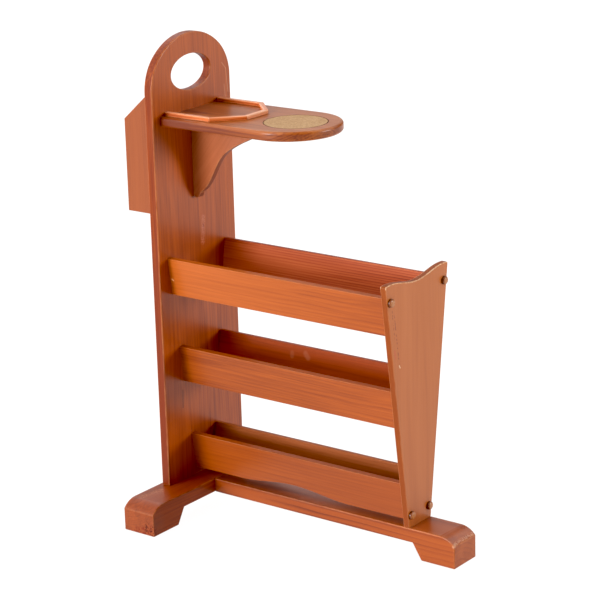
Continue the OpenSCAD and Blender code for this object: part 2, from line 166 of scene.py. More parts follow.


# stained pine

# each stain: its colour on pale, middling and dark wood and where it is rubbed off, the width of a year
# ring in mm, how much rings, fibres and broad bands darken it, its varnish, and how far arrises are rubbed
# bend and uneven are how far in mm the rings wander and differ, where that isn't as usual
# each mark is a scratch, scuff or stain along a line on the rack, except the two on the long bar's end, which
# are painted glints: its ends and its width in mm, how much it covers, its colour and, where it is broken up,
# the size of the patches in mm
pineLooks = {
    "tallPine": {
        "light": "#B65712", "middle": "#9B4509", "dark": "#712704", "worn": "#D08A58", "ring": 4.5,
        "ringDepth": 0.18, "fibreDepth": 0.42, "broadDepth": 0.25, "coat": 0.78, "wear": 0.6,
        "marks": (
            {"start": (-216, 15, 464), "end": (-216, 12, 425), "wide": 6, "amount": 0.42,
             "colour": "#E09478", "broken": 1.7},
            {"start": (-216, 14.5, 453), "end": (-216, 14.5, 449), "wide": 2.2, "amount": 0.5,
             "colour": "#7A2A18"},
            {"start": (-216, -52, 197), "end": (-216, -53.5, 168), "wide": 1.1, "amount": 0.85,
             "colour": "#2E0C04"},
            {"start": (-216, 84, 690), "end": (-216, 88, 652), "wide": 1.0, "amount": 0.45,
             "colour": "#D89A72"},
            {"start": (-216, 75, 700), "end": (-216, 84, 690), "wide": 1.0, "amount": 0.4,
             "colour": "#D89A72"},
            {"start": (-216, 79, 665), "end": (-216, 81, 645), "wide": 1.0, "amount": 0.35,
             "colour": "#D89A72"})},
    "bracketPine": {
        "light": "#B96D4B", "middle": "#9E5734", "dark": "#73341D", "worn": "#D08A58", "ring": 6.0,
        "ringDepth": 0.08, "fibreDepth": 0.14, "broadDepth": 0.1, "coat": 0.6, "wear": 0.5,
        "marks": (
            {"start": (-195.5, 1, 517.5), "end": (-195.5, 5, 516), "wide": 1.5, "amount": 0.85,
             "colour": "#2E0C04"},)},
    "pocketPine": {
        "light": "#A0521E", "middle": "#894012", "dark": "#622607", "worn": "#D08A58", "ring": 5.0,
        "ringDepth": 0.05, "fibreDepth": 0.14, "broadDepth": 0.1, "coat": 0.75, "wear": 0.3},
    "frontPine": {
        "light": "#C47132", "middle": "#AC5C23", "dark": "#7F3B15", "worn": "#E8BE94", "ring": 7.0,
        "ringDepth": 0.06, "fibreDepth": 0.08, "broadDepth": 0.1, "coat": 0.66, "wear": 0.8,
        "marks": (
            {"start": (198.5, -61.1, 394.6), "end": (198.5, -48.9, 308.9), "wide": 1.1, "amount": 0.85,
             "colour": "#6E200A", "broken": 6},
            {"start": (198.5, -65.5, 398), "end": (198.5, -64.5, 385), "wide": 1.1, "amount": 0.85,
             "colour": "#5A1A08", "broken": 2.5},
            {"start": (198.5, -63.5, 380), "end": (198.5, -60, 352), "wide": 1.1, "amount": 0.75,
             "colour": "#6E200A", "broken": 3},
            {"start": (198.5, -60.5, 336), "end": (198.5, -58, 324), "wide": 2.6, "amount": 0.35,
             "colour": "#B8402C"},
            {"start": (198.5, -49.5, 311), "end": (198.5, -47.5, 307), "wide": 1.2, "amount": 0.7,
             "colour": "#F0CFA8"})},
    "slatPine": {
        "light": "#B35A1E", "middle": "#9B4914", "dark": "#6D2A0C", "worn": "#E0965C", "ring": 5.0,
        "ringDepth": 0.17, "fibreDepth": 0.24, "broadDepth": 0.15, "coat": 0.55, "wear": 0.35,
        "marks": (
            {"start": (-212, -70.8, 384.5), "end": (-209.5, -70.6, 383), "wide": 1.6, "amount": 0.6,
             "colour": "#FFC890"},)},
    # the slats' stain on a board with little figure
    "quietPine": {
        "light": "#B35A1E", "middle": "#9B4914", "dark": "#6D2A0C", "worn": "#E0965C", "ring": 6.0,
        "ringDepth": 0.08, "fibreDepth": 0.12, "broadDepth": 0.12, "coat": 0.55, "wear": 0.35},
    # close, straight and dark rings, on the top far slat
    "stripedPine": {
        "light": "#BC6238", "middle": "#99401E", "dark": "#541508", "worn": "#C9784A", "ring": 4.0,
        "ringDepth": 0.65, "fibreDepth": 0.25, "broadDepth": 0.2, "bend": 3, "uneven": 4,
        "coat": 0.42, "wear": 0.3},
    # the other far slats, darker and duller than the near ones
    "trayPine": {
        "light": "#A34311", "middle": "#8C3709", "dark": "#621E03", "worn": "#C9784A", "ring": 5.0,
        "ringDepth": 0.12, "fibreDepth": 0.25, "broadDepth": 0.25, "coat": 0.45, "wear": 0.3,
        "marks": (
            {"start": (-70, 44.1, 258), "end": (-70, 43.8, 252), "wide": 5, "amount": 0.13,
             "colour": "#C08468"},
            {"start": (-44, 44.1, 261), "end": (-39, 43.7, 255), "wide": 6, "amount": 0.17,
             "colour": "#C08468"})},
    "lowTrayPine": {
        "light": "#AA603A", "middle": "#934F28", "dark": "#662D18", "worn": "#C9784A", "ring": 5.0,
        "ringDepth": 0.12, "fibreDepth": 0.25, "broadDepth": 0.25, "coat": 0.25, "wear": 0.3},
    "crossbarPine": {
        "light": "#A64C14", "middle": "#8E3B08", "dark": "#601D05", "worn": "#DC9A68", "ring": 4.5,
        "ringDepth": 0.16, "fibreDepth": 0.28, "broadDepth": 0.35, "coat": 0.42, "wear": 0.3,
        "marks": (
            {"start": (-230, -181.5, 17), "end": (-190, -181.5, 17), "wide": 34, "amount": 0.33,
             "colour": "#7C4C3A"},
            {"start": (-208, -181.5, 2), "end": (-182, -181.5, 9), "wide": 11, "amount": 0.8,
             "colour": "#6E1804", "broken": 3.2},
            {"start": (-190.5, -181.5, 20), "end": (-192.5, -181.5, 6), "wide": 5, "amount": 0.95,
             "colour": "#420A02", "broken": 3.0},
            {"start": (-181, -181.5, 16), "end": (-183, -181.5, 3), "wide": 4, "amount": 0.95,
             "colour": "#420A02", "broken": 2.6},
            {"start": (-224, -152, 48), "end": (-217, -116, 48), "wide": 9, "amount": 0.3,
             "colour": "#E0945E", "broken": 2.5})},
    "barPine": {
        "light": "#A44F16", "middle": "#8C3D0E", "dark": "#5E2007", "worn": "#DC9A68", "ring": 9.0,
        "ringDepth": 0.42, "fibreDepth": 0.13, "broadDepth": 0.28, "coat": 0.88, "wear": 0.3,
        # the two pale marks along the far end's upper arris are painted glints: a painted highlight where the
        # rounding catches the light
        "marks": (
            {"start": (277, -29, 36), "end": (276.5, -24, 38), "wide": 3.2, "amount": 0.3,
             "colour": "#E8BC98"},
            {"start": (276.5, -20, 39), "end": (276.5, 26, 39), "wide": 4, "amount": 0.3,
             "colour": "#E8BC98", "broken": 2.4})},
    "shelfPine": {
        "light": "#B26730", "middle": "#9B501D", "dark": "#6A2A0D", "worn": "#D9905C", "ring": 4.5,
        "ringDepth": 0.4, "fibreDepth": 0.35, "broadDepth": 0.35, "coat": 0.72, "wear": 0.3},
    "rimPine": {
        "light": "#EBAA82", "middle": "#D3723E", "dark": "#A04A22", "worn": "#DCA47C", "ring": 3.0,
        "ringDepth": 0.2, "fibreDepth": 0.7, "broadDepth": 0.3, "coat": 0.9, "wear": 0.6},
}
pineUsual = {"bend": 14, "uneven": 12, "marks": (), "leastRing": 0.15, "leastWear": 0.2}
# waves in a metre, along the grain and twice across it
pineWaves = {
    "bend": (3.5, 18, 18),  # the trunk's own bends, 290 mm long and 55 mm across
    "year": 60.0,  # good and lean years take turns every 17 mm
    "fade": (4, 30, 30),  # rings pale and darken again within 250 mm, and 33 mm across
    "fibre": (8, 340, 340),  # streaks 3 mm apart, far coarser than the real ones, so that they show
    "broad": (3, 45, 45),  # bands of 22 mm, where the stain went in deeper
    "rub": (60, 300, 300),  # rubbed spots 17 mm long and 3 mm wide
}
# how dark the wood is at each share of a year's growth: pale spring wood, a dark autumn line, a sharp end
ringShape = ((0.5, 0.2), (0.86, 1.0), (0.93, 0.8))
ringMean = 0.3  # how dark a ring is on the whole
# a mark is solid within this share of its width; its patches are cut from a noise between two levels
markShape = {"solid": 0.4, "patchFrom": 0.48, "patchTo": 0.56}


def addMark(tree, place, colour, mark):
    start, end = (Vector(mark[k]) * mm for k in ("start", "end"))
    run = end - start
    # how far the place lies from the nearest point of the mark's line
    away = addNode(tree, "ShaderNodeVectorMath", {0: place, 1: start}, operation="SUBTRACT")
    share = addNode(tree, "ShaderNodeVectorMath", {0: away, 1: run / run.dot(run)},
                    operation="DOT_PRODUCT").outputs["Value"]
    share = addNode(tree, "ShaderNodeClamp", {"Value": share})
    share = addNode(tree, "ShaderNodeCombineXYZ", {"X": share, "Y": share, "Z": share})
    nearest = addNode(tree, "ShaderNodeVectorMath", {0: share, 1: run}, operation="MULTIPLY")
    away = addNode(tree, "ShaderNodeVectorMath", {0: away, 1: nearest}, operation="DISTANCE")
    cover = addNode(tree, "ShaderNodeMapRange", {
        "Value": away.outputs["Value"], "From Min": mark["wide"] * mm,
        "From Max": mark["wide"] * markShape["solid"] * mm, "To Min": 0.0, "To Max": mark["amount"]})
    if "broken" in mark:
        patches = addNode(tree, "ShaderNodeTexNoise", {"Vector": place, "Scale": 1 / (mark["broken"] * mm),
                                                       "Detail": 1.0})
        patches = addNode(tree, "ShaderNodeMapRange", {
            "Value": patches, "From Min": markShape["patchFrom"], "From Max": markShape["patchTo"]})
        cover = addNode(tree, "ShaderNodeMath", {0: cover, 1: patches}, operation="MULTIPLY")
    return addNode(tree, "ShaderNodeMix", {"Factor": cover, "A": colour, "B": linear(mark["colour"])},
                   data_type="RGBA")


def stainedPine(name, look):
    # pine boards, planed and sanded, wiped with a red-brown stain and brushed with satin varnish:
    # year rings cut at a slant, fine long fibres, a soft wet-looking sheen, arrises rubbed pale
    s = {**pineUsual, **look}
    material, tree = newMaterial(name)
    # the place in the log: x runs along the grain, and the rings lie round the x axis
    place = addNode(tree, "ShaderNodeAttribute", attribute_name="grain").outputs["Vector"]
    slow = addNode(tree, "ShaderNodeVectorMath", {0: place, 1: pineWaves["bend"]}, operation="MULTIPLY")
    bend = addNode(tree, "ShaderNodeTexNoise", {"Vector": slow, "Scale": 1.0, "Detail": 2.0})
    bend = addNode(tree, "ShaderNodeVectorMath", {0: bend.outputs["Color"], 1: (0.5, 0.5, 0.5)},
                   operation="SUBTRACT")
    bend = addNode(tree, "ShaderNodeVectorMath", {0: bend, "Scale": s["bend"] * mm}, operation="SCALE")
    bent = addNode(tree, "ShaderNodeVectorMath", {0: place, 1: bend}, operation="ADD")
    # year rings: the distance from the heart, made uneven, counted in years
    flat = addNode(tree, "ShaderNodeVectorMath", {0: bent, 1: (0, 1, 1)}, operation="MULTIPLY")
    radius = addNode(tree, "ShaderNodeVectorMath", {0: flat}, operation="LENGTH")
    years = addNode(tree, "ShaderNodeTexNoise", {"W": radius, "Scale": pineWaves["year"], "Detail": 1.0},
                    noise_dimensions="1D")
    radius = addNode(tree, "ShaderNodeMath", {0: years, 1: s["uneven"] * mm, 2: radius},
                     operation="MULTIPLY_ADD")
    turns = addNode(tree, "ShaderNodeMath", {0: radius, 1: 1 / (s["ring"] * mm)}, operation="MULTIPLY")
    phase = addNode(tree, "ShaderNodeMath", {0: turns}, operation="FRACT")
    ring = addNode(tree, "ShaderNodeValToRGB", {"Fac": phase})
    ring.color_ramp.interpolation = "EASE"
    stops = ring.color_ramp.elements
    stops[0].color = (0, 0, 0, 1)
    stops[1].color = (0, 0, 0, 1)
    for at, value in ringShape:
        stops.new(at).color = (value, value, value, 1)
    # rings fade in places, at most to leastRing of their strength
    fade = addNode(tree, "ShaderNodeVectorMath", {0: place, 1: pineWaves["fade"]}, operation="MULTIPLY")
    fade = addNode(tree, "ShaderNodeTexNoise", {"Vector": fade, "Scale": 1.0, "Detail": 1.0})
    fade = addNode(tree, "ShaderNodeMapRange", {"Value": fade, "From Min": 0.3, "From Max": 0.65,
                                                "To Min": s["leastRing"], "To Max": 1.0})
    ring = addNode(tree, "ShaderNodeMath", {0: ring.outputs["Color"], 1: fade}, operation="MULTIPLY")
    # streaks of fibre and broad bands
    fine = addNode(tree, "ShaderNodeVectorMath", {0: bent, 1: pineWaves["fibre"]}, operation="MULTIPLY")
    fibre = addNode(tree, "ShaderNodeTexNoise", {"Vector": fine, "Scale": 1.0, "Detail": 3.0})
    wide = addNode(tree, "ShaderNodeVectorMath", {0: bent, 1: pineWaves["broad"]}, operation="MULTIPLY")
    broad = addNode(tree, "ShaderNodeTexNoise", {"Vector": wide, "Scale": 1.0, "Detail": 2.0})
    # all of them darken the stain, round a middle that the rings don't shift
    tone = addNode(tree, "ShaderNodeAttribute", attribute_name="tone").outputs["Fac"]
    tone = addNode(tree, "ShaderNodeMath", {0: tone, 1: 0.5 - s["ringDepth"] * ringMean}, operation="ADD")
    depth = addNode(tree, "ShaderNodeMath", {0: ring, 1: s["ringDepth"], 2: tone},
                    operation="MULTIPLY_ADD")
    for noise, swing in ((fibre, s["fibreDepth"] / 2), (broad, s["broadDepth"] / 2)):
        darker = addNode(tree, "ShaderNodeMapRange", {"Value": noise, **mostNoise,
                                                      "To Min": -swing, "To Max": swing})
        depth = addNode(tree, "ShaderNodeMath", {0: depth, 1: darker}, operation="ADD")
    stain = addNode(tree, "ShaderNodeValToRGB", {"Fac": depth})
    tones = stain.color_ramp.elements
    tones[0].color = linear(s["light"])
    tones[1].color = linear(s["dark"])
    tones.new(0.5).color = linear(s["middle"])
    # rubbed arrises, in spots, with leastWear of the wear between them
    arris = addNode(tree, "ShaderNodeAttribute", attribute_name="arris")
    rubbed = addNode(tree, "ShaderNodeVectorMath", {0: place, 1: pineWaves["rub"]}, operation="MULTIPLY")
    rubbed = addNode(tree, "ShaderNodeTexNoise", {"Vector": rubbed, "Scale": 1.0, "Detail": 3.0})
    rubbed = addNode(tree, "ShaderNodeMapRange", {"Value": rubbed, "From Min": 0.35, "From Max": 0.65,
                                                  "To Min": s["wear"] * s["leastWear"],
                                                  "To Max": s["wear"]})
    rubbed = addNode(tree, "ShaderNodeMath", {0: rubbed, 1: arris.outputs["Fac"]}, operation="MULTIPLY")
    colour = addNode(tree, "ShaderNodeMix", {"Factor": rubbed, "A": stain, "B": linear(s["worn"])},
                     data_type="RGBA")
    real = addNode(tree, "ShaderNodeTexCoord").outputs["Object"]
    for mark in s["marks"]:
        colour = addMark(tree, real, colour.outputs["Result"], mark)
    # the varnish bridges most of the grain, so the relief is slight
    relief = addNode(tree, "ShaderNodeMath", {0: fibre, 1: ring}, operation="ADD")
    bump = addNode(tree, "ShaderNodeBump", {"Height": relief, "Strength": 0.35, "Distance": 0.15 * mm})
    gloss = addNode(tree, "ShaderNodeMapRange", {"Value": broad, **mostNoise, "To Min": 0.5, "To Max": 0.6})
    polish = addNode(tree, "ShaderNodeAttribute", attribute_name="polish").outputs["Fac"]
    coat = addNode(tree, "ShaderNodeMath", {0: polish, 1: s["coat"]}, operation="MULTIPLY")
    shader = addNode(tree, "ShaderNodeBsdfPrincipled", {
        "Base Color": colour, "Roughness": gloss, "Normal": bump, "IOR": 1.5,
        "Specular IOR Level": 0.1, "Coat Weight": coat, "Coat Roughness": 0.3, "Coat IOR": 1.5})
    addNode(tree, "ShaderNodeOutputMaterial", {"Surface": shader})
    return material


pine = {name: stainedPine(name, look) for name, look in pineLooks.items()}
print("pine made:", len(pine), "stains")


# boards copied from the frame

# along is the way of the grain, through the way of the board's thickness
# pith is where the heart of the log lies from the board's middle, across and through, in mm
# start is where in the log the board was cut, in metres, so that no two boards are alike
# tone, edgeTone and endTone darken the whole board, its sawn edges, and the end that along points to
# edgePolish is the varnish left on sawn edges, arris the rounding of the edges in mm, rubbed how pale
# they are worn, and rubbedTop the height in mm below the top edge where they are worn most
boardUsual = {"tone": 0, "edgeTone": 0, "endTone": 0, "edgePolish": 0.3, "arris": 0, "rubbed": 0.5,
              "rubbedTop": 0}
boards = {
    "tallPanel": {"node": "tall_panel", "slot": "pine_panel", "stain": "tallPine", "arris": 1.8,
                  "edgeTone": 0.55, "endTone": -0.3, "edgePolish": 0.5,
                  "along": axes["z"], "through": axes["x"], "pith": (22, -62), "start": 0.3},
    "frontPanel": {"node": "front_panel", "slot": "pine_panel", "stain": "frontPine", "arris": 1.2,
                   "edgeTone": 0.5, "endTone": -0.15, "rubbedTop": 14, "rubbed": 0.1,
                   "along": axes["z"], "through": axes["x"], "pith": (-35, -55), "start": 2.1},
    "crossbarBoard": {"node": "crossbar", "slot": "pine_base", "stain": "crossbarPine", "arris": 1.6,
                      "edgeTone": 0.07, "edgePolish": 0.55,
                      "along": axes["y"], "through": axes["z"], "pith": (30, 50), "start": 3.4},
    "longBar": {"node": "long_bar", "slot": "pine_base", "stain": "barPine", "arris": 1.6,
                "endTone": -0.35, "edgePolish": 0.6,
                "along": axes["x"], "through": axes["z"], "pith": (-20, -60), "start": 5.2},
    # the shelf's endTone paints it paler towards its tip, a painted highlight where the tip catches the
    # light, and so darker towards the tall panel
    "shelfBoard": {"node": "shelf", "slot": "pine_shelf", "stain": "shelfPine",
                   "edgeTone": 0.5, "endTone": -0.5, "edgePolish": 0.8,
                   "along": axes["x"], "through": axes["z"], "pith": (-25, -45), "start": 6.6},
    "bracketBoard": {"node": "bracket", "slot": "pine_panel", "stain": "bracketPine", "arris": 1.2,
                     "edgeTone": 0.4, "edgePolish": 0.1, "rubbed": 0.9,
                     "along": Vector((0.6, 0, 0.8)), "through": axes["y"], "pith": (60, 90), "start": 7.7},
    "pocketSideNear": {"node": "pocket_side_near", "slot": "pine_panel", "stain": "pocketPine", "arris": 1.2,
                       "along": axes["z"], "through": axes["y"], "pith": (50, -80), "start": 8.3},
    "pocketSideFar": {"node": "pocket_side_far", "slot": "pine_panel", "stain": "pocketPine", "arris": 1.2,
                      "along": axes["z"], "through": axes["y"], "pith": (-45, 70), "start": 9.1},
    "pocketBoard": {"node": "pocket_board", "slot": "pine_panel", "stain": "pocketPine", "arris": 1.2,
                    "along": axes["z"], "through": axes["x"], "pith": (12, 66), "start": 10.2},
    "pocketFloor": {"node": "pocket_floor", "slot": "pine_panel", "stain": "pocketPine",
                    "along": axes["y"], "through": axes["z"], "pith": (20, 70), "start": 11.8},
}
# the tray's rim: five strips, two of them at 45 degrees
slant = math.cos(math.radians(45))
rimStrips = {
    "rimNear": {"node": "rim_near", "along": axes["x"], "edgeTone": 0.6},
    "rimNearCorner": {"node": "rim_near_corner", "along": Vector((slant, slant, 0)), "edgeTone": 0.6},
    "rimFront": {"node": "rim_front", "along": axes["y"], "edgeTone": 0.15},
    "rimFarCorner": {"node": "rim_far_corner", "along": Vector((-slant, slant, 0)), "edgeTone": 0.4},
    "rimFar": {"node": "rim_far", "along": axes["x"], "edgeTone": 0.4},
}
# they were cut one after the other from the same length of pine
for count, (name, strip) in enumerate(rimStrips.items()):
    boards[name] = {"slot": "pine_rim", "stain": "rimPine", "arris": 1.0, "tone": -0.3, "through": axes["z"],
                    "pith": (25, -40), "start": 13 + 1.7 * count, **strip}
# in mm and degrees: points closer than weld are one, faces turned less than flat are one, an arris turns
# more than corner and, with those it joins, spans more than shortest
boardRules = {"weld": 0.01, "flat": 0.5, "corner": 30, "shortest": 20, "arrisSteps": 3}


def markTone(mesh, s, wide, along):
    # how dark the stain is painted: on the whole board, more on its sawn edges, and from end to end; on the
    # top near slat and the shelf the change from end to end is painted light and shade
    reach = [v.co.dot(along) for v in mesh.vertices]
    low, high = min(reach), max(reach)
    tones, polish = [], []
    for face in mesh.polygons:
        sawn = 1 - abs(face.normal.dot(wide))
        for corner in face.vertices:
            share = (reach[corner] - low) / (high - low) - 0.5
            tones.append(s["tone"] + s["edgeTone"] * sawn + s["endTone"] * share)
        # sawn edges drink the varnish and stay duller
        polish.append(1 - (1 - s["edgePolish"]) * sawn)
    mesh.attributes.new("tone", "FLOAT", "CORNER").data.foreach_set("value", tones)
    mesh.attributes.new("polish", "FLOAT", "FACE").data.foreach_set("value", polish)


def markGrain(mesh, s):
    # each point's place in the log the board was sawn from: x along it, y across the face, z through it
    low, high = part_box(s["node"])
    middle = (low + high) / 2
    across = s["through"].cross(s["along"])
    grain = mesh.attributes.new("grain", "FLOAT_VECTOR", "POINT")
    for vertex, value in zip(mesh.vertices, grain.data):
        p = vertex.co - middle
        value.vector = (p.dot(s["along"]) + s["start"], p.dot(across) - s["pith"][0] * mm,
                        p.dot(s["through"]) - s["pith"][1] * mm)


def longArrises(bm):
    # the sharp edges of the board itself, without the rims of its screw and dowel holes
    turn = math.radians(boardRules["corner"])
    sharp = {e for e in bm.edges if len(e.link_faces) == 2 and e.calc_face_angle(0) > turn}
    chosen = []
    while sharp:
        chain, grow = [], [sharp.pop()]
        while grow:
            edge = grow.pop()
            chain.append(edge)
            for vertex in edge.verts:
                for other in vertex.link_edges:
                    if other in sharp:
                        sharp.remove(other)
                        grow.append(other)
        points = [v.co for e in chain for v in e.verts]
        span = max(max(p[i] for p in points) - min(p[i] for p in points) for i in range(3))
        if span > boardRules["shortest"] * mm:
            chosen += chain
    return chosen


def copyBoard(name, board):
    s = {**boardUsual, **board}
    mesh = nodes[s["node"]].data.copy()
    mesh.name = name
    bm = bmesh.new()
    bm.from_mesh(mesh)
    bmesh.ops.remove_doubles(bm, verts=bm.verts, dist=boardRules["weld"] * mm)
    bmesh.ops.dissolve_limit(bm, angle_limit=math.radians(boardRules["flat"]), verts=bm.verts,
                             edges=bm.edges)
    arrisLayer = bm.faces.layers.float.new("arris")
    if s["arris"]:
        made = bmesh.ops.bevel(bm, geom=longArrises(bm), offset=s["arris"] * mm, offset_type="OFFSET",
                               segments=boardRules["arrisSteps"], profile=0.5, affect="EDGES",
                               clamp_overlap=True, loop_slide=True)
        rubbedFrom = max(v.co.z for v in bm.verts) - s["rubbedTop"] * mm
        for face in made["faces"]:
            face[arrisLayer] = 1 if face.calc_center_median().z > rubbedFrom else s["rubbed"]
    for face in bm.faces:
        face.smooth = True
    bm.to_mesh(mesh)
    bm.free()
    mesh.set_sharp_from_angle(angle=sharpFrom)
    markGrain(mesh, s)
    markTone(mesh, s, s["through"], s["along"])
    mesh.materials.clear()
    mesh.materials.append(pine[s["stain"]])
    dress(settle(addObject(name, mesh)), s["node"])


for name, board in boards.items():
    copyBoard(name, board)
print("boards made:", len(boards))


# slats

# in mm: the arch in the bottom pair's lower edge is measured from the slat's back end
# slices are the cuts along a slat; a face is flat from flatFrom, the cosine of its turn from an axis
slatLook = {"arris": 1.0, "archWidth": 210, "archCentre": 197, "archHeight": 10, "slices": 91,
            "arrisSteps": 3, "flatFrom": 0.95}
slats = {
    # the top near slat's endTone paints it paler towards the tall panel: a painted pool of the light
    # reflected onto it off the panel
    "slatTopNear": {"node": "slat_top_near", "stain": "slatPine", "pith": (-60, 45), "start": 0.9,
                    "tone": -0.08, "endTone": 0.4},
    "slatTopFar": {"node": "slat_top_far", "stain": "stripedPine", "pith": (-150, 12), "start": 2.7},
    "slatMiddleNear": {"node": "slat_middle_near", "stain": "slatPine", "pith": (-75, 30), "start": 4.4,
                       "tone": 0.17, "endTone": -0.08},
    "slatMiddleFar": {"node": "slat_middle_far", "stain": "trayPine", "pith": (-50, 60), "start": 6.1},
    "slatBottomNear": {"node": "slat_bottom_near", "stain": "quietPine", "pith": (-80, 40), "start": 8.2,
                       "tone": 0.2, "arched": True},
    "slatBottomFar": {"node": "slat_bottom_far", "stain": "lowTrayPine", "pith": (-65, 60), "start": 9.6,
                      "arched": True},
}


def slatTree():
    tree, given = newTree("slatBoard", {
        "Length": "Float", "Height": "Float", "Thickness": "Float", "Arris": "Float", "Lean": "Float",
        "Arch Centre": "Float", "Arch Width": "Float", "Arch Height": "Float", "Middle": "Vector",
        "Log Place": "Vector", "Stain": "Material"})
    end = addNode(tree, "ShaderNodeCombineXYZ", {"X": given["Length"]})
    line = addNode(tree, "GeometryNodeCurvePrimitiveLine", {"End": end})
    line = addNode(tree, "GeometryNodeResampleCurve", {"Curve": line, "Count": slatLook["slices"]})
    section = addNode(tree, "GeometryNodeCurvePrimitiveQuadrilateral",
                      {"Width": given["Thickness"], "Height": given["Height"]})
    section = addNode(tree, "GeometryNodeFilletCurve", {"Curve": section, "Radius": given["Arris"]},
                      mode="POLY")
    section.inputs["Count"].default_value = slatLook["arrisSteps"]  # comes into use only with the mode
    board = addNode(tree, "GeometryNodeCurveToMesh", {"Curve": line, "Profile Curve": section,
                                                      "Fill Caps": True})
    spot = addNode(tree, "GeometryNodeInputPosition")
    parts = addNode(tree, "ShaderNodeSeparateXYZ", {0: spot})
    # a smooth swell in the lower edge: half a cosine wave to each side of its middle
    run = addNode(tree, "ShaderNodeMath", {0: parts.outputs["X"], 1: given["Arch Centre"]},
                  operation="SUBTRACT")
    run = addNode(tree, "ShaderNodeMath", {0: run, 1: given["Arch Width"]}, operation="DIVIDE")
    run = addNode(tree, "ShaderNodeClamp", {"Value": run, "Min": -0.5, "Max": 0.5})
    run = addNode(tree, "ShaderNodeMath", {0: run, 1: math.tau}, operation="MULTIPLY")
    swell = addNode(tree, "ShaderNodeMath", {0: run}, operation="COSINE")
    swell = addNode(tree, "ShaderNodeMath", {0: swell, 1: 0.5, 2: 0.5}, operation="MULTIPLY_ADD")
    swell = addNode(tree, "ShaderNodeMath", {0: swell, 1: given["Arch Height"]}, operation="MULTIPLY")
    # it fades to nothing at the upper edge
    share = addNode(tree, "ShaderNodeMath", {0: parts.outputs["Z"], 1: given["Height"]},
                    operation="DIVIDE")
    share = addNode(tree, "ShaderNodeMath", {0: 0.5, 1: share}, operation="SUBTRACT")
    lift = addNode(tree, "ShaderNodeMath", {0: swell, 1: share}, operation="MULTIPLY")
    lift = addNode(tree, "ShaderNodeCombineXYZ", {"Z": lift})
    board = addNode(tree, "GeometryNodeSetPosition", {"Geometry": board, "Offset": lift})
    log = addNode(tree, "ShaderNodeVectorMath", {0: spot, 1: given["Log Place"]}, operation="ADD")
    board = addNode(tree, "GeometryNodeStoreNamedAttribute",
                    {"Geometry": board, "Name": "grain", "Value": log}, data_type="FLOAT_VECTOR")
    facing = addNode(tree, "GeometryNodeInputNormal")
    facing = addNode(tree, "ShaderNodeVectorMath", {0: facing}, operation="ABSOLUTE")
    facing = addNode(tree, "ShaderNodeSeparateXYZ", {0: facing})
    most = addNode(tree, "ShaderNodeMath", {0: facing.outputs["Y"], 1: facing.outputs["Z"]},
                   operation="MAXIMUM")
    most = addNode(tree, "ShaderNodeMath", {0: facing.outputs["X"], 1: most}, operation="MAXIMUM")
    rounded = addNode(tree, "ShaderNodeMath", {0: most, 1: slatLook["flatFrom"]}, operation="LESS_THAN")
    board = addNode(tree, "GeometryNodeStoreNamedAttribute",
                    {"Geometry": board, "Name": "arris", "Value": rounded}, domain="FACE")
    turn = addNode(tree, "ShaderNodeCombineXYZ", {"X": given["Lean"]})
    board = addNode(tree, "GeometryNodeTransform", {"Geometry": board, "Translation": given["Middle"],
                                                    "Rotation": turn})
    board = addNode(tree, "GeometryNodeSetShadeSmooth", {"Geometry": board})
    board = addNode(tree, "GeometryNodeRealizeInstances", {"Geometry": board})
    board = addNode(tree, "GeometryNodeSetMaterial", {"Geometry": board, "Material": given["Stain"]})
    addNode(tree, "NodeGroupOutput", {0: board})
    return tree


def makeSlats():
    tree = slatTree()
    topHigh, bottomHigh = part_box("slat_top_far")[1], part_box("slat_bottom_far")[1]
    lean = math.atan2(topHigh.y - bottomHigh.y, topHigh.z - bottomHigh.z)
    upright, aslant = math.cos(lean), math.sin(lean)
    spread = upright * upright - aslant * aslant
    for name, slat in slats.items():
        low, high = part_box(slat["node"])
        size, middle = high - low, (low + high) / 2
        side = 1 if middle.y > 0 else -1
        # the box of a leaning board is larger than the board, whose sizes are worked out from it
        board = runTree(name, tree, {
            "Length": size.x, "Thickness": (size.y * upright - size.z * aslant) / spread,
            "Height": (size.z * upright - size.y * aslant) / spread, "Arris": slatLook["arris"] * mm,
            "Lean": -side * lean, "Middle": Vector((low.x, middle.y, middle.z)),
            "Arch Centre": slatLook["archCentre"] * mm, "Arch Width": slatLook["archWidth"] * mm,
            "Arch Height": slatLook["archHeight"] * mm if slat.get("arched") else 0.0,
            "Log Place": (slat["start"], -slat["pith"][1] * mm, -slat["pith"][0] * mm),
            "Stain": pine[slat["stain"]]})
        markTone(board.data, {**boardUsual, **slat}, Vector((0, upright, side * aslant)), axes["x"])
        dress(board, slat["node"])


makeSlats()
print("slats made:", len(slats))


# buttons over the screw heads

# in mm; fullness 2 is an ellipse and more is squarer; around and up are how finely the dome is cut
# sideAt is the height, as a share, where the side's colour is purest
# flecks are waves in a metre along x, y and z: 2 mm long and about 1 mm wide, as in real beech
buttonLook = {"diameter": 13, "height": 5, "fullness": 3.8, "around": 49, "up": 29, "weld": 0.02,
              # foot, side and crown are painted shade and highlight: the dome is darkest at its foot and
              # palest at its crown
              "foot": "#3E1604", "side": "#74360F", "sideAt": 0.7, "crown": "#B0703F",
              "flecks": (900, 1300, 500), "fleckDepth": 0.9}
buttons = {"frontButtons": {"node": "front_buttons", "way": 1},
           "backButtons": {"node": "back_buttons", "way": -1}}


